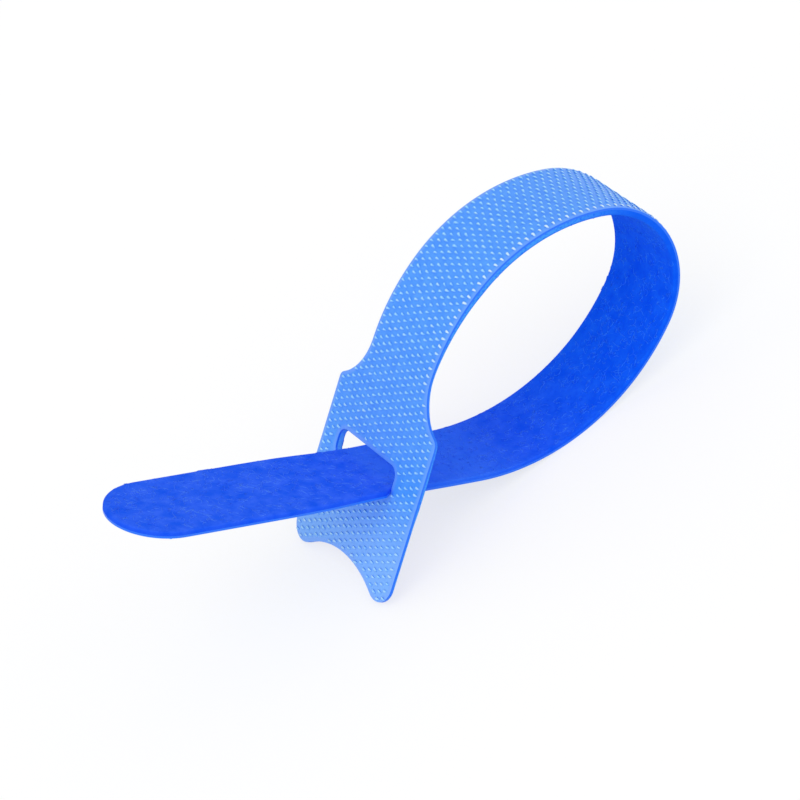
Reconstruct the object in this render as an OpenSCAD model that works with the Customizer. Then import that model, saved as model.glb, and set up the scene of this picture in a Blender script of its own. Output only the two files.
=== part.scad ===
// Hook-and-loop cable tie, closed through its own slot and standing as it comes to rest.
// Two tapes are bonded back to back and die-cut to one outline: a moulded hook tape outside and
// a brushed loop tape inside. The outline has a fishtail head with a slot, a strap and a round tail.
// The profile plane is drawn in XY with the width of the strap along Z, the bond line between the
// tapes is the reference, and the slot crossing is the profile's origin. tie_frame() then stands it up.

/* [Strap] */
// Width of the strap
strap_w = 12; // [9:0.5:16]
// Thickness of the moulded hook tape
hook_t = 0.3; // [0.2:0.05:0.6]
// Thickness of the brushed loop tape
loop_t = 0.5; // [0.3:0.05:0.9]
// Length of the free tail past the slot
tail_l = 31.5; // [20:0.5:60]

/* [Loop] */
// Radius of the rise above the head
rise_r = 25; // [19:0.5:30]
// Angle turned along the rise
rise_turn = 24; // [20:1:28]
// Radius of the crown
crown_r = 20.5; // [17:0.5:25]
// Angle turned along the crown
crown_turn = 50; // [40:1:60]
// Radius of the nose, the tightest bend
nose_r = 10.5; // [8:0.5:13]
// Angle turned along the nose
nose_turn = 115; // [100:1:125]
// Radius of the belly, which leads back to the slot
belly_r = 24.5; // [20:0.5:30]
// Angle between the head and the tail where the strap crosses the slot
cross_angle = 104; // [98:1:112]

/* [Head] */
// Width of the head across its shoulders
head_w = 19.6; // [18:0.2:26]
// Length of the head from its shoulders to its two tips
head_l = 19.6; // [17:0.2:26]
// Distance from the tips up to the slot crossing
cross_rise = 11.6; // [9.5:0.1:13]
// Radius of the hollow fillets between the shoulders and the strap
neck_r = 6.1; // [4:0.1:8]
// Radius that rounds the shoulder corners
shoulder_r = 0.8; // [0.2:0.1:1.2]
// Radius that rounds the two tips
tip_r = 2.2; // [0.6:0.1:2.6]
// Depth of the fishtail notch between the tips
notch_depth = 2.1; // [1.4:0.1:4]

/* [Slot] */
// Clearance between each edge of the strap and the slot's end
slot_side_gap = 0.1; // [0.05:0.05:1]
// Height of the slot along the head
slot_h = 3.7; // [2.6:0.1:5]
// Distance of the slot's middle above the crossing
slot_lift = 0.65; // [0.3:0.05:0.9]
// Radius of the slot's corners
slot_r = 1.2; // [0.5:0.1:1.25]

/* [Hidden] */
$fn = 96;
// Colours of the two tapes
hook_colour = [0.37, 0.62, 0.98];
loop_colour = [0.08, 0.32, 0.92];
// Overlap that lets a cutter pass clear of what it cuts
cut_over = 1;
// Largest angle between two stops of the profile
bend_step = 2;
// Headings in the profile, anticlockwise from +X: up the head, round the loop and out along the tail
head_dir = 90;
rise_end = head_dir - rise_turn;
crown_end = rise_end - crown_turn;
nose_end = crown_end - nose_turn;
tail_dir = head_dir - 360 + cross_angle;
half_head = head_w / 2;
half_strap = strap_w / 2;

// Tips: their ends and the middles of their round corners, along the head from the slot crossing
tip_at = -cross_rise;
tip_mid = tip_at + tip_r;
tip_across = half_head - tip_r;
// Notch: the radius that meets both rounded tips without a corner, its centre and where they meet
notch_r = (pow(tip_across, 2) + pow(notch_depth - tip_r, 2) - pow(tip_r, 2)) / (2 * notch_depth);
notch_centre = [tip_at + notch_depth - notch_r, 0];
notch_touch = notch_centre + ([tip_mid, tip_across] - notch_centre) * notch_r / (notch_r + tip_r);
// Shoulders: the middles of their round corners, and the fillet circles that touch them
shoulder_mid = head_l - cross_rise - shoulder_r;
shoulder_across = half_head - shoulder_r;
fillet_across = half_strap + neck_r;
fillet_lean = acos((fillet_across - shoulder_across) / (neck_r + shoulder_r));
fillet_centre = [shoulder_mid + (neck_r + shoulder_r) * sin(fillet_lean), fillet_across];
fillet_touch = fillet_across - neck_r * cos(fillet_lean);

// Unit vector along a heading, and the one to its left, which points out of the loop
function along(dir) = [cos(dir), sin(dir)];
function outward(dir) = [-sin(dir), cos(dir)];
// Step made by a clockwise arc from one heading to the next
function arc_step(r, from_dir, to_dir) = r * (outward(to_dir) - outward(from_dir));

// The two straights close the loop: one up the head, one from the belly back to the slot
round_trip = arc_step(rise_r, head_dir, rise_end)
    + arc_step(crown_r, rise_end, crown_end)
    + arc_step(nose_r, crown_end, nose_end)
    + arc_step(belly_r, nose_end, tail_dir);
return_l = -round_trip.x / cos(tail_dir);
head_run = -round_trip.y - return_l * sin(tail_dir);

// Stops along one clockwise bend of the bond line after its start, each a point and its heading
function bend_stops(start, r, from_dir, to_dir) = [
    let (steps = ceil((from_dir - to_dir) / bend_step))
        for (i = [1 : steps])
            let (dir = from_dir + (to_dir - from_dir) * i / steps)
                [start + arc_step(r, from_dir, dir), dir]
];
function last_point(stops) = stops[len(stops) - 1][0];
rise_start = [0, head_run];
rise = bend_stops(rise_start, rise_r, head_dir, rise_end);
crown = bend_stops(last_point(rise), crown_r, rise_end, crown_end);
nose = bend_stops(last_point(crown), nose_r, crown_end, nose_end);
belly = bend_stops(last_point(nose), belly_r, nose_end, tail_dir);

// The tail ends past the slot, and its round end is struck from tail_mid
tail_end = tail_l * along(tail_dir);
tail_mid = (tail_l - half_strap) * along(tail_dir);

// At rest the inner corners of the tips and the belly share the floor: this is the tilt from the profile
belly_centre = last_point(nose) - belly_r * outward(nose_end);
foot = [loop_t, tip_at];
foot_to_belly = belly_centre - foot;
rest_tilt = atan2(foot_to_belly.y, foot_to_belly.x)
    - asin((belly_r + hook_t) / norm(foot_to_belly));

// A profile point after the tilt, and the reach of the tilted profile
function tilted(p) = [
    p.x * cos(rest_tilt) + p.y * sin(rest_tilt),
    p.y * cos(rest_tilt) - p.x * sin(rest_tilt)
];
reach = [
    for (stop = concat(crown, nose, belly))
        tilted(stop[0] + hook_t * outward(stop[1])),
    tilted(tail_end + hook_t * outward(tail_dir)),
    tilted(tail_end - loop_t * outward(tail_dir)),
    tilted(foot)
];
reach_x = [for (p = reach) p.x];
mid_x = (min(reach_x) + max(reach_x)) / 2;
floor_y = tilted(foot).y;

// Stands the profile on the floor, with the strap's width across Y and the bounding box centred
module tie_frame() {
    translate([-mid_x, 0, -floor_y])
        rotate([90, 0, 0])
            rotate([0, 0, -rest_tilt])
                children();
}

// Part of a tape's profile between two distances from the bond line, as wide as asked
module ribbon(stops, low, high, width) {
    outer_side = [for (stop = stops) stop[0] + high * outward(stop[1])];
    inner_side = [for (stop = stops) stop[0] + low * outward(stop[1])];
    backwards = [for (i = [len(stops) - 1 : -1 : 0]) inner_side[i]];
    translate([0, 0, -width / 2])
        linear_extrude(width)
            polygon(concat(outer_side, backwards));
}

// A cutter from a flat plan: X runs along the heading, Y across the strap
module plan_cutter(start, dir, low, high) {
    translate(start)
        rotate([0, 0, dir])
            translate([0, high, 0])
                rotate([90, 0, 0])
                    linear_extrude(high - low)
                        children();
}

// The slot: a rectangle with true round corners
module slot_plan() {
    slot_w = strap_w + 2 * slot_side_gap;
    translate([slot_lift, 0]) {
        square([slot_h - 2 * slot_r, slot_w], center = true);
        square([slot_h, slot_w - 2 * slot_r], center = true);
        for (sx = [-1, 1])
            for (sy = [-1, 1])
                translate([sx * (slot_h / 2 - slot_r), sy * (slot_w / 2 - slot_r)])
                    circle(slot_r);
    }
}

// The head's sides and its two rounded tips, with the arc of the fishtail notch between them
module head_plan() {
    difference() {
        union() {
            polygon([
                [notch_touch.x, -notch_touch.y], [tip_mid, -notch_touch.y],
                [tip_mid, -half_head], [shoulder_mid, -half_head],
                [shoulder_mid, half_head], [tip_mid, half_head],
                [tip_mid, notch_touch.y], [notch_touch.x, notch_touch.y]
            ]);
            for (side = [-1, 1])
                translate([tip_mid, side * tip_across])
                    circle(tip_r);
        }
        translate(notch_centre)
            circle(notch_r);
    }
}

// Rounded shoulder corners and the hollow fillets that lead into the strap
module neck_plan() {
    difference() {
        translate([shoulder_mid, -fillet_touch])
            square([fillet_centre.x - shoulder_mid, 2 * fillet_touch]);
        for (side = [-1, 1])
            translate([fillet_centre.x, side * fillet_centre.y])
                circle(neck_r);
    }
    for (side = [-1, 1])
        translate([shoulder_mid, side * shoulder_across])
            circle(shoulder_r);
}

// Die-cut outline of the head, its slot and the first of the strap
module head_outline() {
    difference() {
        union() {
            head_plan();
            neck_plan();
            translate([shoulder_mid, -half_strap])
                square([head_run + rise_r - shoulder_mid, strap_w]);
        }
        slot_plan();
    }
}

// What the round end leaves of the tail's square corners
module tail_offcut() {
    difference() {
        translate([0, -half_strap - cut_over])
            square([half_strap + cut_over, strap_w + 2 * cut_over]);
        circle(half_strap);
    }
}

// One whole tape between two distances from the bond line: the head with the rise, die-cut to its
// outline, then the strap from the top of the rise, round the loop and out through the slot
module tape(low, high) {
    head_stops = concat([[[0, tip_at - cut_over], head_dir], [rise_start, head_dir]], rise);
    strap_stops = concat(
        [rise[len(rise) - 2], rise[len(rise) - 1]], crown, nose, belly, [[tail_end, tail_dir]]
    );
    intersection() {
        ribbon(head_stops, low, high, head_w);
        plan_cutter([0, 0], head_dir, -rise_r, high + cut_over)
            head_outline();
    }
    difference() {
        ribbon(strap_stops, low, high, strap_w);
        plan_cutter(tail_mid, tail_dir, low - cut_over, high + cut_over)
            tail_offcut();
    }
}

// Outer tape, moulded with the hooks facing out
module hook_tape() {
    color(hook_colour)
        tie_frame()
            tape(0, hook_t);
}

// Inner tape, knitted and brushed so that its loops face in
module loop_tape() {
    color(loop_colour)
        tie_frame()
            tape(-loop_t, 0);
}

hook_tape();
loop_tape();
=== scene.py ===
"""Looks for the hook-and-loop cable tie: hooks, brushed pile, materials, light, floor and camera.

Everything on the tie is laid out flat first. A place on the flat cut is (s, w): s runs along the
strap from the slot crossing and w across it, both in millimetres. Profile.place() then bends the
cut round the same chain of straights and arcs as the CAD part and stands it on the floor.
"""

import bmesh
import bpy
import numpy as np
from mathutils import Matrix, Vector, noise
from mathutils.geometry import delaunay_2d_cdt


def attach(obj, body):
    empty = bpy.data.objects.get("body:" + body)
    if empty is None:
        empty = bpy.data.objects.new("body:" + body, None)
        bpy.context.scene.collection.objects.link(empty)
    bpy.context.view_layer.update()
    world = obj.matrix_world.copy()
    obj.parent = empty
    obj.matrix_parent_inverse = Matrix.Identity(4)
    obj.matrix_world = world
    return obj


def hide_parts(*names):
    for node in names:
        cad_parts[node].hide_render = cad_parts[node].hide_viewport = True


MM = 0.001

# Sizes of the CAD part, in millimetres and degrees
STRAP_W = 12.0
HOOK_T = 0.3
LOOP_T = 0.5
TAIL_L = 31.5
RISE_R, RISE_TURN = 25.0, 24.0
CROWN_R, CROWN_TURN = 20.5, 50.0
NOSE_R, NOSE_TURN = 10.5, 115.0
BELLY_R = 24.5
CROSS_ANGLE = 104.0
HEAD_W = 19.6
HEAD_L = 19.6
CROSS_RISE = 11.6
NECK_R = 6.1
SHOULDER_R = 0.8
TIP_R = 2.2
NOTCH_DEPTH = 2.1
SLOT_SIDE_GAP = 0.1
SLOT_H = 3.7
SLOT_LIFT = 0.65
SLOT_R = 1.2

# How the soft strap gives at the slot: the slot's shift across, how much shorter it is at each end
# and the rise of its lower edge. The strap loses a share of its width as it bows through, shifts
# across, and recovers within the reach. Its near rim is pinched in further, over a shorter reach.
SLOT_SHIFT = -1.0
SLOT_NARROW = 0.25
SLOT_SAG = 0.5
RIM_PINCH = 0.85
PINCH_REACH = 1.4
STRAP_SQUEEZE = 0.06
STRAP_SHIFT = 0.25
SQUEEZE_REACH = 9.0
# How much the near half of the head is spread by the strap, and where along s that fades out
HEAD_SPREAD = 0.045
SPREAD_FROM, SPREAD_TO = 6.5, 9.5
# How full the pile stands along s, as a share of its thickness: full round the slot and in the
# bend over the top, pressed thin at the neck
PILE_AT = (-12.0, -2.0, 0.0, 3.5, 5.5, 9.0, 14.0, 24.0, 45.0, 58.0, 70.0, 94.0, 102.0, 112.0, 134.0)
PILE_SHARE = (1.15, 1.1, 1.6, 1.6, 1.1, 0.45, 0.4, 1.35, 1.4, 1.0, 0.75, 0.85, 1.0, 1.0, 1.0)
# The pile is pressed thin towards the head's two sides, between these places across
PRESS_FROM, PRESS_TO, PRESS = 6.6, 9.2, 0.6
# The free tail's slight twist, how far along it grows, and its drift across for each millimetre
TAIL_TWIST = 1.6
TAIL_TWIST_REACH = 14.0
TAIL_DRIFT = -0.016

# Hooks: a staggered lattice with a bare rim along the cut, and one hook's size
HOOK_PITCH_W = 0.9
HOOK_PITCH_S = 0.865
HOOK_RIM = 0.26
HOOK_SLOT_RIM = 0.6
HOOK_SIDES = 6
# The hooks count as the head's up to this share of the arc after it
HEAD_FIELD_SHARE = 0.8
# The last hooks beside the near edge: how deep in they stand and how much larger they are
END_HOOK_DEPTH = 0.95
END_HOOK_SIZE = 1.02
END_HOOK_FROM = -8.5
# How much the hooks differ: in size, twist, lean, place and paleness
HOOK_SIZE_SPREAD = 0.07
HOOK_TWIST_SPREAD = 0.10
HOOK_LEAN_SPREAD = 0.06
HOOK_SHIFT_SPREAD = 0.015
HOOK_SHINE_SPREAD = 0.08
# How pale the hooks are: a plain one; the painted light on the lowest on the head, which lifts the
# strap's shade over them, and where that fades out; and the painted glint on the end hooks on the
# head and on the strap, which changes over a stretch round the head's end
HOOK_SHINE = 0.03
LOW_SHINE = 0.16
LOW_FROM, LOW_TO = -7.0, 1.0
END_SHINE = (0.2, 0.8)
END_SHINE_STRETCH = (-6.0, 8.0)
# The room that a hook keeps over the floor and the least height that it is pressed to
HOOK_FLOOR_GAP = 0.01
HOOK_LEAST = 0.02
# Stops of one hook from its foot over its crown to its tip, in millimetres: across, up, half its
# thickness and half its breadth along the strap
HOOK_STOPS = (
    (-0.14, -0.03, 0.120, 0.150),
    (-0.20, 0.02, 0.085, 0.145),
    (-0.20, 0.060, 0.062, 0.140),
    (-0.08, 0.090, 0.045, 0.140),
    (0.09, 0.082, 0.042, 0.125),
    (0.26, 0.048, 0.040, 0.105),
    (0.38, 0.000, 0.030, 0.070),
)

# Pile: fine curled fibres that lie on the brushed face, set back from the cut and sunk a little
FIBRE_STOPS = 7
FIBRE_SIDES = 3
FIBRE_RIM = 0.05
FIBRE_SINK = 0.01
FIBRE_KINK = 0.8
# The shortest and the longest fibre, as shares of its kind's length, and the lowest and the highest,
# as shares of its lift
FIBRE_SHARES = (0.45, 2.0)
FIBRE_LIFTS = (0.2, 1.0)
# Two kinds, fine ones and coarser curls: how many, their length, its spread, curl in radians, lift
# off the face, radius, how far one may reach past the cut edge and how pale they are
FIBRE_KINDS = (
    (1900, 0.8, 0.35, 2.0, 0.02, 0.020, 0.0, 0.0),
    (2700, 1.10, 0.30, 3.6, 0.015, 0.050, 0.03, 0.10),
)

# Soft lumps in the brushed face: their height, how many to the millimetre and their slice of noise
LUMP_HEIGHT = 0.02
LUMPS_PER_MM = 0.9
LUMP_SLICE = 3.1

# Linear colours of the hook tape: its base in two tones, painted light towards the tips, a painted
# highlight along the rims, and its colour on the cut edge; and the hooks from foot to crown, with
# painted light on the crowns, and the painted glint where they shine
BASE_TONES = ((0.046, 0.280, 0.96), (0.074, 0.340, 0.98))
BASE_TIPS_PAINTED_LIGHT = (0.220, 0.500, 1.0)
BASE_RIM_HIGHLIGHT = (0.190, 0.370, 0.99)
BASE_CUT = (0.012, 0.165, 0.93)
HOOK_TONES_CROWN_LIT = ((0.105, 0.375, 1.0), (0.140, 0.450, 1.0), (0.300, 0.680, 1.0))
HOOK_SHINING = (0.70, 0.90, 1.0)
# Linear colours of the cloth and of its pile, in two tones each, in the loop and on the tail, the
# tail's paler as a painted sheen
CLOTH_LOOP = ((0.001, 0.095, 0.86), (0.006, 0.134, 0.92))
CLOTH_TAIL_SHEENED = ((0.008, 0.092, 0.85), (0.034, 0.132, 0.92))
PILE_LOOP = ((0.008, 0.155, 0.97), (0.025, 0.230, 1.0))
PILE_TAIL_SHEENED = ((0.030, 0.130, 0.93), (0.070, 0.220, 0.98))
# The cloth's painted shade between its curls, on a curl, painted light under the crown and behind
# the head, and its cut edge where it is smooth, where it is fuzzy, and painted light at the slot's
# far end
CLOTH_SHADE_SPECKS = (0.002, 0.060, 0.80)
CLOTH_CURL = (0.130, 0.360, 1.0)
CLOTH_CROWN_LIT = (0.012, 0.185, 0.94)
CLOTH_BEHIND_LIT = (0.055, 0.250, 1.0)
CLOTH_DEEP = (0.002, 0.070, 0.84)
CLOTH_FUZZ = (0.060, 0.320, 0.94)
CLOTH_SLOT_END_LIT = (0.100, 0.400, 1.0)
SHEEN_TINT = (0.25, 0.7, 1.0)
# Where the looks change, each from where it starts to where it is full: painted light at the tips,
# painted sheen on tail and head, painted light under the crown, behind the head and at the slot's
# far end. Along s:
TIPS_LIGHT_ALONG = (1.0, -8.0)
TAIL_SHEEN_ALONG = (68.0, 92.0)
HEAD_SHEEN_ALONG = (16.0, 8.0)
CROWN_LIGHT_ALONG = (58.0, 44.0)
BEHIND_LIGHT_ALONG = (82.0, 92.0)
BEHIND_LIGHT_END = (103.0, 99.0)
DEEP_ALONG = (34.0, 46.0)
FUZZ_ALONG = (46.0, 34.0)
SLOT_LIGHT_ALONG = (5.0, 3.2)
# Across (the painted light at the slot's far end), in from the cut edge (the painted highlight along
# the rims), and by height off the bond line
SLOT_LIGHT_ACROSS = (-4.4, -5.4)
RIM_HIGHLIGHT_DEPTH = (0.65, 0.25)
BASE_WALL = (0.262, 0.232)
CLOTH_WALL = (0.46, 0.30)

# Lamps: strength, spread in degrees and the way towards each, and the white surround's light
LAMPS = {
    "key": (0.40, 35, (-0.45, -0.35, 1.0)),
    "fill": (0.30, 60, (-1.0, -0.75, 0.30)),
    "side": (0.35, 60, (0.35, -1.0, 0.60)),
}
SURROUND = 0.83
# The floor as it lights the tie, and as it is seen: a faint shade and a glow
FLOOR_SIZE = 4.0
FLOOR_WHITE = 0.9
FLOOR_SHADE = 0.28
FLOOR_GLOW = 0.72

# Camera: where it looks and from where, in millimetres and degrees
CAMERA_TARGET = (0.222, 0.0, 14.122)
CAMERA_HEADING = 16.392
CAMERA_DOWN = 37.1
CAMERA_ROLL = 26.533
CAMERA_DISTANCE = 498.2
CAMERA_LENS = 208.35

# Fineness of the two tapes' meshes, and how far from the cut the inner vertices start, as a share
# of a step
OUTLINE_STEP = 0.22
GRID_STEP_S = 0.45
GRID_STEP_W = 0.55
GRID_CLEARANCE = 0.6
PROFILE_POINTS = 4000
POINTS_AT_ONCE = 2000
# The rounding of the two cut edges: the share of the radius that the hook tape's one bevel takes
# off, and the turns at which the cloth's rounding has a ring of vertices
HOOK_EDGE_R = 0.07
HOOK_BEVEL = 0.29
LOOP_EDGE_R = 0.28
LOOP_EDGE_TURNS = (90, 65, 42, 20, 0)
# Edges sharper than this stay sharp, in degrees
SMOOTH_UNDER = 50

# Points closer than this are one, and this is the mesher's own reach, both in millimetres
SAME_POINT = 1e-6
MESH_REACH = 1e-7
SEED = 8


def along(deg):
    """Unit vectors along headings in degrees."""
    a = np.radians(deg)
    return np.stack([np.cos(a), np.sin(a)], -1)


def outward(deg):
    """Unit vectors to the left of headings, which point out of the loop."""
    a = np.radians(deg)
    return np.stack([-np.sin(a), np.cos(a)], -1)


def eased(share):
    """A share from 0 to 1 that starts and ends gently."""
    return share**2 * (3 - 2 * share)


def arc_step(radius, from_deg, to_deg):
    """Step made by a clockwise arc from one heading to another."""
    return radius * (outward(to_deg) - outward(from_deg))


class Profile:
    """The bond line between the tapes: a straight, four clockwise arcs and a straight."""

    def __init__(self):
        turns = (RISE_TURN, CROWN_TURN, NOSE_TURN)
        head, tail = 90.0, 90.0 - 360.0 + CROSS_ANGLE
        bends = list(zip((RISE_R, CROWN_R, NOSE_R), turns))
        bends.append((BELLY_R, head - tail - sum(turns)))
        trip, heading = np.zeros(2), head
        for radius, turn in bends:
            trip = trip + arc_step(radius, heading, heading - turn)
            heading -= turn
        return_l = -trip[0] / along(tail)[0]
        head_run = -trip[1] - return_l * along(tail)[1]
        # Each stretch: its start along s, its start point, heading and radius (none on a straight)
        self.stretches = [(-np.inf, np.zeros(2), head, None)]
        at, point, heading = head_run, np.array([0.0, head_run]), head
        for radius, turn in bends:
            self.stretches.append((at, point, heading, radius))
            point = point + arc_step(radius, heading, heading - turn)
            at += radius * np.radians(turn)
            heading -= turn
        self.stretches.append((at, point, heading, None))
        self.length = at + return_l
        self.head_run = head_run
        self._stand(bends)

    def _stand(self, bends):
        """Finds the tilt at which the tips' inner corner and the belly share the floor."""
        _, start, heading, radius = self.stretches[4]
        belly_centre = start - radius * outward(heading)
        foot = np.array([LOOP_T, -CROSS_RISE])
        gap = belly_centre - foot
        lean = np.arcsin((BELLY_R + HOOK_T) / np.hypot(*gap))
        self.tilt = np.arctan2(gap[1], gap[0]) - lean
        self.shift = np.zeros(2)
        s = np.linspace(0, self.length + TAIL_L, PROFILE_POINTS)
        outer = self.bent(s, HOOK_T)[:, 0]
        inner = self.bent(s[-1:], -LOOP_T)[:, 0]
        tips = self.bent([-CROSS_RISE], -LOOP_T)[0]
        every = np.concatenate([outer, inner, tips[:1]])
        self.shift = np.array([(every.min() + every.max()) / 2, tips[1]])

    def bond(self, s):
        """Points and headings of the bond line at places along s."""
        s = np.asarray(s, float)
        point, heading = np.zeros((len(s), 2)), np.zeros(len(s))
        for start, origin, deg, radius in self.stretches:
            mine = s >= start
            run = s[mine] - (0 if np.isinf(start) else start)
            if radius is None:
                point[mine] = origin + run[:, None] * along(deg)
                heading[mine] = deg
            else:
                heading[mine] = deg - np.degrees(run / radius)
                point[mine] = origin + radius * (outward(heading[mine]) - outward(deg))
        return point, heading

    def turned(self, v):
        """Vectors of the profile after the tilt."""
        c, d = np.cos(self.tilt), np.sin(self.tilt)
        return np.stack([v[:, 0] * c + v[:, 1] * d, v[:, 1] * c - v[:, 0] * d], -1)

    def bent(self, s, h):
        """Points of the standing profile, in millimetres, at s and h outside the bond line."""
        point, heading = self.bond(s)
        return self.turned(point + np.reshape(h, (-1, 1)) * outward(heading)) - self.shift

    def lay(self, s, w, h):
        """How the soft strap lies: narrower where it passes the slot, its tail a little twisted."""
        s, w, h = (np.asarray(each, float) for each in (s, w, h))
        past = s - self.length
        near = np.clip(1 - (past / SQUEEZE_REACH) ** 2, 0, 1) ** 2
        free = np.clip(past, 0, None)
        share = np.clip(past / TAIL_TWIST_REACH, 0, 1)
        twist = np.radians(TAIL_TWIST) * eased(share)
        shift = np.where(past > 0, STRAP_SHIFT, STRAP_SHIFT * near) + TAIL_DRIFT * free
        held = 1 - np.clip(np.abs(past) / PINCH_REACH, 0, 1)
        pinch = RIM_PINCH * eased(held) * np.clip(w / (STRAP_W / 2), 0, 1) ** 2
        w = w * (1 - STRAP_SQUEEZE * near) - pinch
        head = np.clip((SPREAD_TO - s) / (SPREAD_TO - SPREAD_FROM), 0, 1)
        w = np.where(w > 0, w * (1 + HEAD_SPREAD * eased(head)), w)
        side = np.clip((np.abs(w) - PRESS_FROM) / (PRESS_TO - PRESS_FROM), 0, 1)
        full = np.interp(s, PILE_AT, PILE_SHARE) * (1 - PRESS * eased(side))
        h = np.where(h < 0, h * full, h)
        return w * np.cos(twist) - h * np.sin(twist) + shift, w * np.sin(twist) + h * np.cos(twist)

    def place(self, s, w, h):
        """World points, in metres, at (s, w) on the cut and h outside the bond line."""
        w, h = self.lay(s, w, h)
        flat = self.bent(s, h)
        return np.stack([flat[:, 0], -w, flat[:, 1]], -1) * MM

    def axes(self, s):
        """World unit vectors at s: along the strap, across it and outward."""
        _, heading = self.bond(s)
        a, o = self.turned(along(heading)), self.turned(outward(heading))
        zero, one = np.zeros(len(a)), np.ones(len(a))
        return (
            np.stack([a[:, 0], zero, a[:, 1]], -1),
            np.stack([zero, -one, zero], -1),
            np.stack([o[:, 0], zero, o[:, 1]], -1),
        )


def arc(centre, radius, from_deg, to_deg, hollow=False):
    """Points and outward normals of an arc of the cut. A hollow one has the tape outside it."""
    steps = max(4, int(np.ceil(abs(np.radians(to_deg - from_deg)) * radius / OUTLINE_STEP)))
    ray = along(np.linspace(from_deg, to_deg, steps + 1))
    return np.asarray(centre) + radius * ray, (-ray if hollow else ray)


def line(start, end, normal):
    """Points and normals of a straight of the cut, without its two ends."""
    start, end = np.asarray(start, float), np.asarray(end, float)
    steps = max(2, int(np.ceil(np.hypot(*(end - start)) / OUTLINE_STEP)))
    share = np.linspace(0, 1, steps + 1)[1:-1, None]
    points = start + share * (end - start)
    return points, np.tile(np.asarray(normal, float), (len(points), 1))


def cut_outline(tail_end):
    """The die-cut outline, counted from the notch round one side to the tail and back."""
    tip_at = -CROSS_RISE
    tip_mid, tip_across = tip_at + TIP_R, HEAD_W / 2 - TIP_R
    notch_r = (tip_across**2 + (NOTCH_DEPTH - TIP_R) ** 2 - TIP_R**2) / (2 * NOTCH_DEPTH)
    notch_s = tip_at + NOTCH_DEPTH - notch_r
    notch_turn = np.degrees(np.arctan2(tip_across, tip_mid - notch_s))
    shoulder_mid = HEAD_L - CROSS_RISE - SHOULDER_R
    shoulder_across = HEAD_W / 2 - SHOULDER_R
    fillet_across = STRAP_W / 2 + NECK_R
    lean = np.degrees(np.arccos((fillet_across - shoulder_across) / (NECK_R + SHOULDER_R)))
    fillet_s = shoulder_mid + (NECK_R + SHOULDER_R) * np.sin(np.radians(lean))
    tail_mid = tail_end - STRAP_W / 2
    parts = [
        arc((notch_s, 0), notch_r, 0, notch_turn, hollow=True),
        arc((tip_mid, tip_across), TIP_R, notch_turn + 180, 90),
        line((tip_mid, HEAD_W / 2), (shoulder_mid, HEAD_W / 2), (0, 1)),
        arc((shoulder_mid, shoulder_across), SHOULDER_R, 90, 90 - lean),
        arc((fillet_s, fillet_across), NECK_R, 270 - lean, 270, hollow=True),
        line((fillet_s, STRAP_W / 2), (tail_mid, STRAP_W / 2), (0, 1)),
        arc((tail_mid, 0), STRAP_W / 2, 90, 0),
    ]
    points = np.concatenate([p for p, _ in parts])
    normals = np.concatenate([n for _, n in parts])
    apart = np.r_[True, np.hypot(*(points[1:] - points[:-1]).T) > SAME_POINT]
    points, normals = points[apart], normals[apart]
    flip = np.array([1, -1])
    return (
        np.concatenate([points, points[-2:0:-1] * flip]),
        np.concatenate([normals, normals[-2:0:-1] * flip]),
    )


def slot_outline():
    """The slot's outline, with normals that point out of the tape, into the slot."""
    half_s = (SLOT_H - SLOT_SAG) / 2 - SLOT_R
    middle = np.array([SLOT_LIFT + SLOT_SAG / 2, SLOT_SHIFT])
    half_w = STRAP_W / 2 + SLOT_SIDE_GAP - SLOT_NARROW - SLOT_R
    corners = [
        arc(middle + (s * half_s, w * half_w), SLOT_R, turn, turn + 90, hollow=True)
        for s, w, turn in ((1, 1, 0), (-1, 1, 90), (-1, -1, 180), (1, -1, 270))
    ]
    parts = []
    for here, after in zip(corners, corners[1:] + corners[:1]):
        parts += [here, line(here[0][-1], after[0][0], here[1][-1])]
    return tuple(np.concatenate(each) for each in zip(*parts))


def depth_in(points, outlines):
    """How deep flat points lie inside the tape, in millimetres; below zero is outside."""
    best = np.full(len(points), np.inf)
    sign = np.ones(len(points))
    for edge, normal in outlines:
        for first in range(0, len(points), POINTS_AT_ONCE):
            part = slice(first, first + POINTS_AT_ONCE)
            gap = points[part][:, None, :] - edge[None, :, :]
            distance = np.hypot(gap[..., 0], gap[..., 1])
            nearest = distance.argmin(1)
            rows = np.arange(len(nearest))
            near = distance[rows, nearest]
            side = -(gap[rows, nearest] * normal[nearest]).sum(1)
            closer = near < best[part]
            best[part][closer] = near[closer]
            sign[part][closer] = np.sign(side[closer])
    return best * sign


def rings(outlines, inset):
    """Each outline moved into the tape by a distance."""
    return [edge - inset * normal for edge, normal in outlines]


def closed_pairs(first, count):
    """Index pairs round a closed loop of vertices."""
    here = np.arange(count)
    return np.stack([first + here, first + (here + 1) % count], -1)


def within(points, loop):
    """Whether flat points lie inside a closed loop."""
    inside = np.zeros(len(points), bool)
    for start, end in zip(loop, np.roll(loop, -1, axis=0)):
        if start[1] == end[1]:
            continue
        crossed = (start[1] > points[:, 1]) != (end[1] > points[:, 1])
        at = start[0] + (points[:, 1] - start[1]) * (end[0] - start[0]) / (end[1] - start[1])
        inside ^= crossed & (points[:, 0] < at)
    return inside


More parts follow.
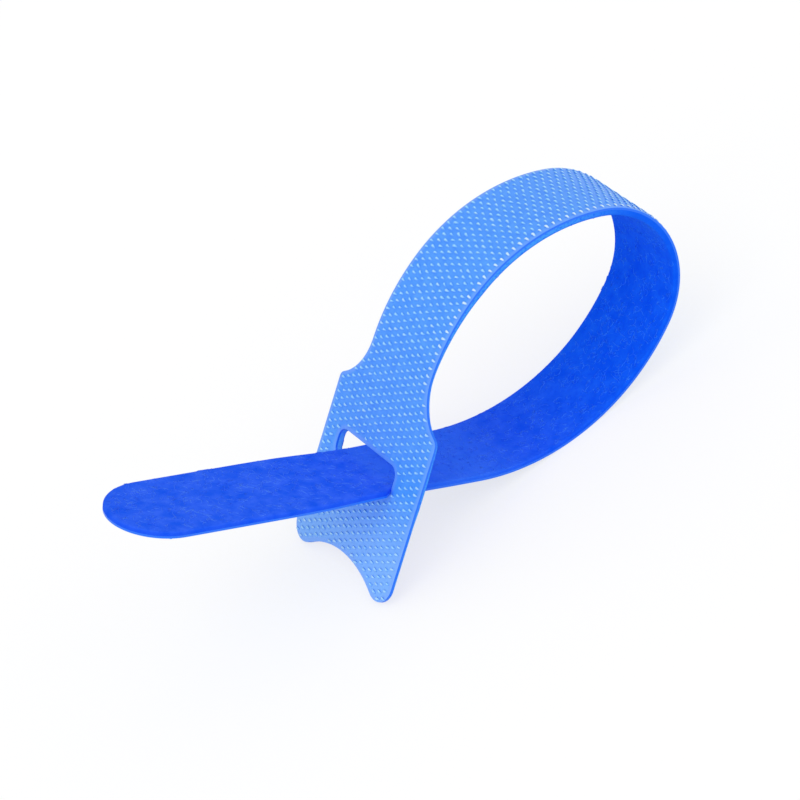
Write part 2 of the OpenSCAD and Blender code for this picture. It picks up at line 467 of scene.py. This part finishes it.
def cover(outlines, inset, length):
    """Flat vertices and triangles that fill the cut: the moved outlines' vertices come first."""
    loops = rings(outlines, inset)
    edges, first = [], 0
    for loop in loops:
        edges.append(closed_pairs(first, len(loop)))
        first += len(loop)
    rows = np.arange(-CROSS_RISE, length + TAIL_L, GRID_STEP_S)
    columns = np.arange(-HEAD_W / 2, HEAD_W / 2, GRID_STEP_W)
    s, w = np.meshgrid(rows, columns, indexing="ij")
    w = w + GRID_STEP_W / 2 * (np.arange(len(rows)) % 2)[:, None]
    grid = np.stack([s.ravel(), w.ravel()], -1)
    grid = grid[depth_in(grid, outlines) > inset + GRID_STEP_S * GRID_CLEARANCE]
    flat = np.concatenate([*loops, grid])
    found, _, faces, _, _, _ = delaunay_2d_cdt(
        [Vector(p) for p in flat], np.concatenate(edges).tolist(), [], 1, MESH_REACH
    )
    if len(found) != len(flat):
        raise RuntimeError("the cut's outline crosses itself")
    faces = np.array(faces)
    middle = flat[faces].mean(1)
    return flat, faces[within(middle, loops[0]) & ~within(middle, loops[1])]


def make_mesh(name, vertices, faces, smooth_under=None):
    """A mesh object from vertices in metres, with edges sharper than an angle left sharp."""
    mesh = bpy.data.meshes.new(name)
    mesh.from_pydata(np.asarray(vertices).tolist(), [], [list(map(int, f)) for f in faces])
    mesh.polygons.foreach_set("use_smooth", np.ones(len(mesh.polygons), bool))
    if smooth_under is not None:
        mesh.set_sharp_from_angle(angle=np.radians(smooth_under))
    mesh.update()
    thing = bpy.data.objects.new(name, mesh)
    bpy.context.scene.collection.objects.link(thing)
    return thing


def face_outward(thing):
    """Turns all the faces of closed shells outward."""
    work = bmesh.new()
    work.from_mesh(thing.data)
    bmesh.ops.recalc_face_normals(work, faces=work.faces)
    work.to_mesh(thing.data)
    work.free()


def keep_values(thing, name, values):
    """Stores one number for each vertex."""
    attribute = thing.data.attributes.new(name, "FLOAT", "POINT")
    attribute.data.foreach_set("value", np.asarray(values, np.float32))


def keep_cut(thing, flat, outlines, level):
    """Stores each vertex's place on the cut: s, w, the depth from the cut edge and the height."""
    values = np.column_stack([flat, depth_in(flat, outlines)])
    attribute = thing.data.attributes.new("cut", "FLOAT_VECTOR", "POINT")
    attribute.data.foreach_set("vector", values.astype(np.float32).ravel())
    keep_values(thing, "level", np.abs(level))


def tape(name, profile, outlines, levels, face_height):
    """One closed tape. levels are (inset, height) from the shown face's rim to the bonded face."""
    flat, triangles = cover(outlines, levels[0][0], profile.length)
    total = sum(len(edge) for edge, _ in outlines)
    height = np.full(len(flat), levels[0][1])
    height[total:] = face_height(flat[total:])
    vertices = [profile.place(flat[:, 0], flat[:, 1], height)]
    places = [flat]
    heights = [height]
    faces = [triangles]
    before = 0
    for inset, level in levels[1:]:
        ring = np.concatenate(rings(outlines, inset))
        after = sum(len(v) for v in vertices)
        vertices.append(profile.place(ring[:, 0], ring[:, 1], np.full(total, level)))
        places.append(ring)
        heights.append(np.full(total, level))
        first = 0
        for edge, _ in outlines:
            pairs = closed_pairs(first, len(edge))
            faces.append(np.column_stack([before + pairs, after + pairs[:, ::-1]]))
            first += len(edge)
        before = after
    inner = sum(len(v) for v in vertices)
    vertices.append(
        profile.place(flat[total:, 0], flat[total:, 1], np.zeros(len(flat) - total))
    )
    places.append(flat[total:])
    heights.append(np.zeros(len(flat) - total))
    back = np.where(triangles < total, triangles + before, triangles - total + inner)
    faces.append(back[:, ::-1])
    every = [face for part in faces for face in part]
    thing = make_mesh(name, np.concatenate(vertices), every, smooth_under=SMOOTH_UNDER)
    face_outward(thing)
    keep_cut(thing, np.concatenate(places), outlines, np.concatenate(heights))
    return thing


def hook_places(profile, outlines):
    """Places of the hooks on the cut: a staggered lattice inside the bare rim."""
    tail_end = profile.length + TAIL_L
    columns = int(HEAD_W / 2 / HOOK_PITCH_W)
    places = []
    for column in range(-columns, columns + 1):
        first = -CROSS_RISE + (HOOK_PITCH_S / 2 if column % 2 else 0.0)
        s = np.arange(first, tail_end, HOOK_PITCH_S)
        places.append(np.column_stack([s, np.full(len(s), column * HOOK_PITCH_W)]))
    places = np.concatenate(places)
    cut, slot = outlines
    bare = (depth_in(places, [cut]) < HOOK_RIM) | (depth_in(places, [slot]) < HOOK_SLOT_RIM)
    return places[~bare]


def hook_shape():
    """One hook, bent over across the strap: vertices (across, along, up) in millimetres, faces."""
    turn = np.linspace(0, 2 * np.pi, HOOK_SIDES, endpoint=False)
    path = np.array([(across, up) for across, up, _, _ in HOOK_STOPS])
    run = np.gradient(path, axis=0)
    run /= np.linalg.norm(run, axis=1, keepdims=True)
    vertices = []
    for at, way, (_, _, thick, broad) in zip(path, run, HOOK_STOPS):
        out = thick * np.cos(turn)
        vertices.append(
            np.column_stack([at[0] - way[1] * out, broad * np.sin(turn), at[1] + way[0] * out])
        )
    faces = []
    for ring in range(len(HOOK_STOPS) - 1):
        low = closed_pairs(ring * HOOK_SIDES, HOOK_SIDES)
        faces += np.column_stack([low, low[:, ::-1] + HOOK_SIDES]).tolist()
    faces.append(list(range(HOOK_SIDES - 1, -1, -1)))
    faces.append(list(range((len(HOOK_STOPS) - 1) * HOOK_SIDES, len(HOOK_STOPS) * HOOK_SIDES)))
    return np.concatenate(vertices), faces


def hooks(name, profile, places, outlines, rng):
    """A field of hooks. Near the floor they're pressed down so that none goes through it."""
    shape, faces = hook_shape()
    count = len(places)
    size = rng.normal(1.0, HOOK_SIZE_SPREAD, (count, 1))
    twist = rng.normal(0.0, HOOK_TWIST_SPREAD, (count, 1))
    lean = rng.normal(0.0, HOOK_LEAN_SPREAD, (count, 2))
    shift = rng.normal(0.0, HOOK_SHIFT_SPREAD, (count, 2))
    edge = (places[:, 1] > 0) & (depth_in(places, outlines[:1]) < END_HOOK_DEPTH)
    edge &= places[:, 0] > END_HOOK_FROM
    size[edge] *= END_HOOK_SIZE
    # Painted glint on the end hooks by the near edge, painted light on the lowest on the head where
    # the strap shades them, and a real random spread of paleness
    stretch = [profile.head_run + run for run in END_SHINE_STRETCH]
    bright = np.where(edge, np.interp(places[:, 0], stretch, END_SHINE), HOOK_SHINE)
    low = np.interp(places[:, 0], (LOW_FROM, LOW_TO), (LOW_SHINE, 0.0))
    shine = np.clip(bright + low + rng.normal(0.0, HOOK_SHINE_SPREAD, count), 0, 1)
    at = places + shift
    root = profile.place(at[:, 0], at[:, 1], np.full(count, HOOK_T))
    forward, side, up = profile.axes(places[:, 0])
    room = np.where(up[:, 2] < 0, root[:, 2] / np.maximum(-up[:, 2], 1e-6) / MM, np.inf)
    tall = shape[:, 2].max()
    room = np.maximum(room - HOOK_FLOOR_GAP, HOOK_LEAST)
    press = np.minimum(1.0, room / (tall * size[:, 0]))[:, None]
    wide = shape[:, 0] * size
    long = shape[:, 1] * size
    high = shape[:, 2] * size * press
    across = wide * np.cos(twist) - long * np.sin(twist) + lean[:, :1] * high
    deep = wide * np.sin(twist) + long * np.cos(twist) + lean[:, 1:] * high
    points = root[:, None, :] + MM * (
        across[..., None] * side[:, None, :]
        + deep[..., None] * forward[:, None, :]
        + high[..., None] * up[:, None, :]
    )
    points = points.reshape(-1, 3)
    points[:, 2] = np.maximum(points[:, 2], 0.0)
    every = [[v + n * len(shape) for v in face] for n in range(count) for face in faces]
    thing = make_mesh(name, points, every)
    face_outward(thing)
    keep_values(thing, "top", np.tile(shape[:, 2] / tall, count))
    keep_values(thing, "shine", np.repeat(shine, len(shape)))
    return thing


def fibre_lines(profile, outlines, kind, rng):
    """Curled lines on the cut for one kind of fibre: s, w, height and radius at every stop."""
    count, length, spread, curl_by, lift_by, radius, grow, shine = kind
    tail_end = profile.length + TAIL_L
    start = np.column_stack(
        [
            rng.uniform(-CROSS_RISE, tail_end, count * 2),
            rng.uniform(-HEAD_W / 2, HEAD_W / 2, count * 2),
        ]
    )
    start = start[depth_in(start, outlines) > FIBRE_RIM][:count]
    total = len(start)
    share = np.linspace(0, 1, FIBRE_STOPS)
    size = length * np.clip(rng.lognormal(0.0, spread, (total, 1)), *FIBRE_SHARES)
    heading = rng.uniform(0, 2 * np.pi, (total, 1))
    curl = rng.normal(0.0, curl_by, (total, 1))
    kink = rng.normal(0.0, FIBRE_KINK, (total, 1))
    angle = heading + curl * share + kink * np.sin(2 * np.pi * share)
    step = size / (FIBRE_STOPS - 1)
    s = start[:, :1] + np.cumsum(np.cos(angle) * step, 1)
    w = start[:, 1:] + np.cumsum(np.sin(angle) * step, 1)
    inside = depth_in(np.column_stack([s.ravel(), w.ravel()]), outlines).reshape(s.shape)
    kept = inside.min(1) > -grow
    s, w, inside = s[kept], w[kept], inside[kept]
    lift = rng.uniform(*FIBRE_LIFTS, (len(s), 1)) * lift_by * np.sin(np.pi * share) ** 0.7
    lift -= FIBRE_SINK
    round_off = LOOP_EDGE_R * (1 - np.sqrt(1 - np.clip(1 - inside / LOOP_EDGE_R, 0, 1) ** 2))
    thick = np.broadcast_to(radius * (0.5 + 0.5 * np.sin(np.pi * share)), s.shape)
    return s, w, -(LOOP_T + lift - round_off), thick, np.full(s.shape, shine)


def fibres(name, profile, outlines, rng):
    """Fine curled fibres that lie on the brushed face, among coarser, paler curls."""
    kinds = [fibre_lines(profile, outlines, kind, rng) for kind in FIBRE_KINDS]
    s, w, height, thick, shine = (np.concatenate(part) for part in zip(*kinds))
    count = len(s)
    centre = profile.place(s.ravel(), w.ravel(), height.ravel()).reshape(count, FIBRE_STOPS, 3)
    _, _, up = profile.axes(s.ravel())
    up = up.reshape(count, FIBRE_STOPS, 3)
    run = np.gradient(centre, axis=1)
    run /= np.linalg.norm(run, axis=2, keepdims=True)
    side = np.cross(run, up)
    side /= np.linalg.norm(side, axis=2, keepdims=True)
    top = np.cross(side, run)
    radius = MM * thick[..., None]
    rays = []
    for n in range(FIBRE_SIDES):
        turn = 2 * np.pi * n / FIBRE_SIDES
        rays.append(centre + radius * (np.cos(turn) * side + np.sin(turn) * top))
    points = np.stack(rays, 2).reshape(-1, 3)
    points[:, 2] = np.maximum(points[:, 2], 0.0)
    per = FIBRE_STOPS * FIBRE_SIDES
    one = []
    for stop in range(FIBRE_STOPS - 1):
        low = closed_pairs(stop * FIBRE_SIDES, FIBRE_SIDES)
        one += np.column_stack([low, low[:, ::-1] + FIBRE_SIDES]).tolist()
    one.append(list(range(FIBRE_SIDES - 1, -1, -1)))
    one.append(list(range(per - FIBRE_SIDES, per)))
    every = [[v + n * per for v in face] for n in range(count) for face in one]
    thing = make_mesh(name, points, every)
    flat = np.repeat(np.column_stack([s.ravel(), w.ravel()]), FIBRE_SIDES, axis=0)
    keep_cut(thing, flat, outlines, np.full(len(flat), LOOP_T))
    keep_values(thing, "shine", np.repeat(shine.ravel(), FIBRE_SIDES))
    return thing


def emptied(owner, output):
    """The node tree of a material or world, emptied down to a new output."""
    owner.use_nodes = True
    nodes, links = owner.node_tree.nodes, owner.node_tree.links
    nodes.clear()
    return nodes, links, nodes.new(output)


def new_material(name):
    """A material with only a Principled shader, wired to the output."""
    material = bpy.data.materials.new(name)
    nodes, links, out = emptied(material, "ShaderNodeOutputMaterial")
    shader = nodes.new("ShaderNodeBsdfPrincipled")
    links.new(shader.outputs["BSDF"], out.inputs["Surface"])
    return material, nodes, links, shader


def noise_node(nodes, links, place, scale, detail):
    """Noise in the row frame. scale is in features for each metre."""
    made = nodes.new("ShaderNodeTexNoise")
    made.inputs["Scale"].default_value = scale
    made.inputs["Detail"].default_value = detail
    links.new(place, made.inputs["Vector"])
    return made.outputs["Fac"]


def ramp(nodes, links, value, stops):
    """A colour ramp through (position, colour) stops."""
    made = nodes.new("ShaderNodeValToRGB")
    while len(made.color_ramp.elements) < len(stops):
        made.color_ramp.elements.new(0.5)
    for element, (position, colour) in zip(made.color_ramp.elements, stops):
        element.position = position
        element.color = (*colour, 1.0)
    links.new(value, made.inputs["Fac"])
    return made.outputs["Color"]


def attribute_node(nodes, name):
    """A value stored on the mesh: a plain number, or a vector split into its three."""
    made = nodes.new("ShaderNodeAttribute")
    made.attribute_name = name
    return made


def mixed(nodes, links, share, first, second):
    """A colour between two, each a colour socket or a plain colour."""
    made = nodes.new("ShaderNodeMix")
    made.data_type = "RGBA"
    links.new(share, made.inputs["Factor"])
    for socket, colour in ((made.inputs[6], first), (made.inputs[7], second)):
        if isinstance(colour, tuple):
            socket.default_value = (*colour, 1.0)
        else:
            links.new(colour, socket)
    return made.outputs[2]


def between(nodes, links, value, low, high, *, to_low=0.0, to_high=1.0):
    """A value carried smoothly from one range to another."""
    made = nodes.new("ShaderNodeMapRange")
    made.interpolation_type = "SMOOTHSTEP"
    links.new(value, made.inputs["Value"])
    made.inputs["From Min"].default_value = low
    made.inputs["From Max"].default_value = high
    made.inputs["To Min"].default_value = to_low
    made.inputs["To Max"].default_value = to_high
    return made.outputs["Result"]


def joined(nodes, links, operation, first, second):
    """Two shares added, multiplied or the larger of them, kept between 0 and 1."""
    made = nodes.new("ShaderNodeMath")
    made.operation = operation
    made.use_clamp = True
    links.new(first, made.inputs[0])
    links.new(second, made.inputs[1])
    return made.outputs[0]


def product(nodes, links, first, second):
    """Two shares multiplied."""
    return joined(nodes, links, "MULTIPLY", first, second)


def stored(nodes, name):
    """A plain number stored on the mesh."""
    return attribute_node(nodes, name).outputs["Fac"]


def roughen(nodes, links, shader, place, grain, detail, strength, height):
    """Fine unevenness of a surface, of a grain in features for each metre."""
    bump = nodes.new("ShaderNodeBump")
    bump.inputs["Strength"].default_value = strength
    bump.inputs["Distance"].default_value = height
    links.new(noise_node(nodes, links, place, grain, detail), bump.inputs["Height"])
    links.new(bump.outputs["Normal"], shader.inputs["Normal"])


def cut_place(nodes, links):
    """The stored place on the cut: s, w and the depth from the cut edge."""
    parts = nodes.new("ShaderNodeSeparateXYZ")
    links.new(attribute_node(nodes, "cut").outputs["Vector"], parts.inputs[0])
    return parts.outputs[0], parts.outputs[1], parts.outputs[2]


def hook_base_material():
    """Moulded base of the hook tape: satin plastic, with painted light towards the tips and a
    painted highlight along the rims, deep at the cut.
    """
    material, nodes, links, shader = new_material("hook_base")
    place = nodes.new("ShaderNodeTexCoord").outputs["Object"]
    s, _, depth = cut_place(nodes, links)
    tone = noise_node(nodes, links, place, scale=900, detail=3)
    colour = ramp(nodes, links, tone, list(zip((0.3, 0.7), BASE_TONES)))
    # Painted light towards the tips, lifting the strap's shade on the head's lower part
    tips = between(nodes, links, s, *TIPS_LIGHT_ALONG, to_high=0.8)
    colour = mixed(nodes, links, tips, colour, BASE_TIPS_PAINTED_LIGHT)
    # Painted highlight along the rims of the cut and the slot
    rim = between(nodes, links, depth, *RIM_HIGHLIGHT_DEPTH, to_high=0.4)
    colour = mixed(nodes, links, rim, colour, BASE_RIM_HIGHLIGHT)
    wall = between(nodes, links, stored(nodes, "level"), *BASE_WALL)
    colour = mixed(nodes, links, wall, colour, BASE_CUT)
    links.new(colour, shader.inputs["Base Color"])
    shader.inputs["Roughness"].default_value = 0.38
    shader.inputs["Specular IOR Level"].default_value = 0.35
    roughen(nodes, links, shader, place, grain=4200, detail=4, strength=0.2, height=0.00004)
    return material


def hook_material():
    """Hooks: the same plastic, with painted light towards their crowns, painted light on the lowest
    on the head and a painted glint on the last of each row.
    """
    material, nodes, links, shader = new_material("hooks")
    top = stored(nodes, "top")
    # Painted light: the hooks paler towards their crowns
    colour = ramp(nodes, links, top, list(zip((0.0, 0.55, 0.95), HOOK_TONES_CROWN_LIT)))
    # Painted glint, painted light and the hooks' random paleness, through the stored shine, kept to
    # the crowns
    crown = between(nodes, links, top, 0.1, 0.9, to_low=0.15)
    shine = product(nodes, links, stored(nodes, "shine"), crown)
    colour = mixed(nodes, links, shine, colour, HOOK_SHINING)
    links.new(colour, shader.inputs["Base Color"])
    shader.inputs["Roughness"].default_value = 0.3
    return material


def fleece_material(name, loop, tail, curled=False):
    """Brushed cloth: matt, mottled in two tones, paler on tail and head than in the loop as a
    painted sheen, with painted shade between its curls and painted light under the crown, behind the
    head and at the slot's far end.
    """
    material, nodes, links, shader = new_material(name)
    place = nodes.new("ShaderNodeTexCoord").outputs["Object"]
    s, w, _ = cut_place(nodes, links)
    tone = noise_node(nodes, links, place, scale=650, detail=4)
    # Painted sheen: the tail's paler tones, used on the tail and on the head
    on_tail = between(nodes, links, s, *TAIL_SHEEN_ALONG)
    on_head = between(nodes, links, s, *HEAD_SHEEN_ALONG)
    away = joined(nodes, links, "MAXIMUM", on_tail, on_head)
    tones = [ramp(nodes, links, tone, list(zip((0.32, 0.68), pair))) for pair in (loop, tail)]
    colour = mixed(nodes, links, away, *tones)
    if curled:
        colour = mixed(nodes, links, stored(nodes, "shine"), colour, CLOTH_CURL)
    # Painted shade: dark specks between the pile's loops
    mottle = noise_node(nodes, links, place, scale=2300, detail=3)
    shade_specks = between(nodes, links, mottle, 0.50, 0.34, to_high=0.25)
    colour = mixed(nodes, links, shade_specks, colour, CLOTH_SHADE_SPECKS)
    # Painted light under the crown, lifting the shade inside the loop
    crown = between(nodes, links, s, *CROWN_LIGHT_ALONG, to_high=0.5)
    colour = mixed(nodes, links, crown, colour, CLOTH_CROWN_LIT)
    # Painted light behind the head, lifting the head's shadow on the strap
    behind = between(nodes, links, s, *BEHIND_LIGHT_ALONG, to_high=0.5)
    behind = product(nodes, links, behind, between(nodes, links, s, *BEHIND_LIGHT_END))
    colour = mixed(nodes, links, behind, colour, CLOTH_BEHIND_LIT)
    wall = between(nodes, links, stored(nodes, "level"), *CLOTH_WALL)
    deep = product(nodes, links, wall, between(nodes, links, s, *DEEP_ALONG, to_high=0.4))
    colour = mixed(nodes, links, deep, colour, CLOTH_DEEP)
    tufts = noise_node(nodes, links, place, scale=3800, detail=3)
    rough = between(nodes, links, tufts, 0.25, 0.55)
    fuzzy = product(nodes, links, wall, between(nodes, links, s, *FUZZ_ALONG))
    fuzzy = product(nodes, links, fuzzy, rough)
    colour = mixed(nodes, links, fuzzy, colour, CLOTH_FUZZ)
    # Painted light on the cut wall at the slot's far end, lifting its shade
    across = between(nodes, links, w, *SLOT_LIGHT_ACROSS)
    slot_end_light = product(nodes, links, across, between(nodes, links, s, *SLOT_LIGHT_ALONG))
    slot_end_light = product(nodes, links, wall, slot_end_light)
    colour = mixed(nodes, links, slot_end_light, colour, CLOTH_SLOT_END_LIT)
    links.new(colour, shader.inputs["Base Color"])
    shader.inputs["Roughness"].default_value = 0.95
    shader.inputs["Specular IOR Level"].default_value = 0.03
    shader.inputs["Sheen Weight"].default_value = 0.08
    shader.inputs["Sheen Roughness"].default_value = 0.4
    shader.inputs["Sheen Tint"].default_value = (*SHEEN_TINT, 1.0)
    roughen(nodes, links, shader, place, grain=5200, detail=6, strength=0.25, height=0.00006)
    return material


def fleece_height(flat):
    """Height of the brushed face at flat places: soft lumps in the pile."""
    places = [Vector((s * LUMPS_PER_MM, w * LUMPS_PER_MM, LUMP_SLICE)) for s, w in flat]
    lumps = [noise.fractal(place, 1.0, 2.0, 3) for place in places]
    return -(LOOP_T + LUMP_HEIGHT * np.array(lumps))


def hook_height(flat):
    """Height of the hook tape's plain face at flat places."""
    return np.full(len(flat), HOOK_T)


def add_hook_base(profile, outlines):
    """The moulded base of the hook tape, its outer rim just broken."""
    bevel = HOOK_EDGE_R * HOOK_BEVEL
    levels = [
        (HOOK_EDGE_R, HOOK_T),
        (bevel, HOOK_T - bevel),
        (0.0, HOOK_T - HOOK_EDGE_R),
        (0.0, 0.0),
    ]
    base = tape("hook_base", profile, outlines, levels, hook_height)
    base.data.materials.append(hook_base_material())
    return base


def add_fleece(profile, outlines):
    """The brushed cloth, its pile falling away in a wide rounding at the cut."""
    levels = [
        (LOOP_EDGE_R * (1 - np.cos(turn)), -LOOP_T + LOOP_EDGE_R * (1 - np.sin(turn)))
        for turn in np.radians(LOOP_EDGE_TURNS)
    ]
    levels.append((0.0, 0.0))
    fleece = tape("fleece", profile, outlines, levels, fleece_height)
    fleece.data.materials.append(fleece_material("fleece", CLOTH_LOOP, CLOTH_TAIL_SHEENED))
    return fleece


def add_hooks(profile, outlines, rng):
    """The hooks in two fields, the head's and the strap's."""
    places = hook_places(profile, outlines)
    head_end = profile.head_run + HEAD_FIELD_SHARE * RISE_R * np.radians(RISE_TURN)
    on_head = places[:, 0] < head_end
    fields = [
        hooks("head_hooks", profile, places[on_head], outlines, rng),
        hooks("strap_hooks", profile, places[~on_head], outlines, rng),
    ]
    material = hook_material()
    for field in fields:
        field.data.materials.append(material)
    return fields


def add_pile(profile, outlines, rng):
    """The curled pile on the cloth."""
    pile = fibres("fleece_pile", profile, outlines, rng)
    pile.data.materials.append(fleece_material("fleece_pile", PILE_LOOP, PILE_TAIL_SHEENED, curled=True))
    return pile


def build_tie():
    """The two tapes, their hooks and their pile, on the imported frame."""
    profile = Profile()
    outlines = [cut_outline(profile.length + TAIL_L), slot_outline()]
    rng = np.random.default_rng(SEED)
    base = add_hook_base(profile, outlines)
    fleece = add_fleece(profile, outlines)
    fields = add_hooks(profile, outlines, rng)
    pile = add_pile(profile, outlines, rng)
    for piece in (base, fleece, pile, *fields):
        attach(piece, "root")
    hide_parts("hook_tape")
    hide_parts("loop_tape")


def grey(value):
    """A grey as a shader takes it."""
    return (value, value, value, 1.0)


def seen_directly(nodes, links):
    """1 where the camera sees a thing itself or in a reflection, 0 where it only lights others."""
    ray = nodes.new("ShaderNodeLightPath")
    total = ray.outputs["Is Camera Ray"]
    for kind in ("Is Glossy Ray", "Is Transmission Ray"):
        total = joined(nodes, links, "ADD", total, ray.outputs[kind])
    return total


def made_node(nodes, kind, **values):
    """A node with some of its inputs set."""
    made = nodes.new(kind)
    for name, value in values.items():
        made.inputs[name].default_value = value
    return made


def show_by_ray(nodes, links, out, unseen, seen):
    """Wires one shader for the light that a thing gives and another for how it looks itself."""
    mix = nodes.new("ShaderNodeMixShader")
    links.new(seen_directly(nodes, links), mix.inputs[0])
    links.new(unseen.outputs[0], mix.inputs[1])
    links.new(seen.outputs[0], mix.inputs[2])
    links.new(mix.outputs[0], out.inputs["Surface"])


def add_floor():
    """A plain white floor that keeps the shadow. Seen directly it is lifted to white."""
    bpy.ops.mesh.primitive_plane_add(size=FLOOR_SIZE, location=(0, 0, 0))
    floor = bpy.context.object
    floor.name = "floor"
    material = bpy.data.materials.new("floor")
    nodes, links, out = emptied(material, "ShaderNodeOutputMaterial")
    matt = made_node(nodes, "ShaderNodeBsdfDiffuse", Color=grey(FLOOR_WHITE))
    faint = made_node(nodes, "ShaderNodeBsdfDiffuse", Color=grey(FLOOR_SHADE))
    glow = made_node(nodes, "ShaderNodeEmission", Color=grey(1.0), Strength=FLOOR_GLOW)
    both = nodes.new("ShaderNodeAddShader")
    links.new(faint.outputs[0], both.inputs[0])
    links.new(glow.outputs[0], both.inputs[1])
    show_by_ray(nodes, links, out, matt, both)
    floor.data.materials.append(material)


def add_light():
    """Soft studio light: a white surround, a broad lamp high on the left and two lower ones."""
    world = bpy.data.worlds.new("studio")
    bpy.context.scene.world = world
    nodes, links, out = emptied(world, "ShaderNodeOutputWorld")
    backs = [
        made_node(nodes, "ShaderNodeBackground", Color=grey(1.0), Strength=strength)
        for strength in (SURROUND, 1.0)
    ]
    show_by_ray(nodes, links, out, *backs)
    for name, (energy, spread, way) in LAMPS.items():
        lamp = bpy.data.lights.new(name, "SUN")
        lamp.energy = energy
        lamp.angle = np.radians(spread)
        thing = bpy.data.objects.new(name, lamp)
        bpy.context.scene.collection.objects.link(thing)
        thing.rotation_euler = Vector(way).to_track_quat("Z", "Y").to_euler()


def add_camera():
    """A camera at the photograph's viewing angle, rolled as the photograph shows the tie."""
    heading, down, roll = np.radians([CAMERA_HEADING, CAMERA_DOWN, CAMERA_ROLL])
    look = Vector((np.cos(down) * np.sin(heading), np.cos(down) * np.cos(heading), -np.sin(down)))
    level = look.cross(Vector((0, 0, 1))).normalized()
    up = level.cross(look) * np.cos(roll) + level * np.sin(roll)
    right = look.cross(up)
    data = bpy.data.cameras.new("camera")
    data.lens = CAMERA_LENS
    data.sensor_width = 36.0
    data.clip_end = 20.0
    camera = bpy.data.objects.new("camera", data)
    turn = Matrix((right, up, -look)).transposed().to_4x4()
    target = Vector(CAMERA_TARGET) * MM
    camera.matrix_world = Matrix.Translation(target - look * CAMERA_DISTANCE * MM) @ turn
    bpy.context.scene.collection.objects.link(camera)
    bpy.context.scene.camera = camera


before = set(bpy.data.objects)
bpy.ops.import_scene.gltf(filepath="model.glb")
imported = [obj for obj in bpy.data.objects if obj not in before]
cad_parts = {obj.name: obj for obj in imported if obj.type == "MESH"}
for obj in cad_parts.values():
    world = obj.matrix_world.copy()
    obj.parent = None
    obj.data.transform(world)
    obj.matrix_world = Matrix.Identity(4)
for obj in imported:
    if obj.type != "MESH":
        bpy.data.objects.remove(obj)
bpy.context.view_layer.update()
add_camera()
build_tie()
add_floor()
add_light()
bpy.context.scene.view_settings.view_transform = "Standard"
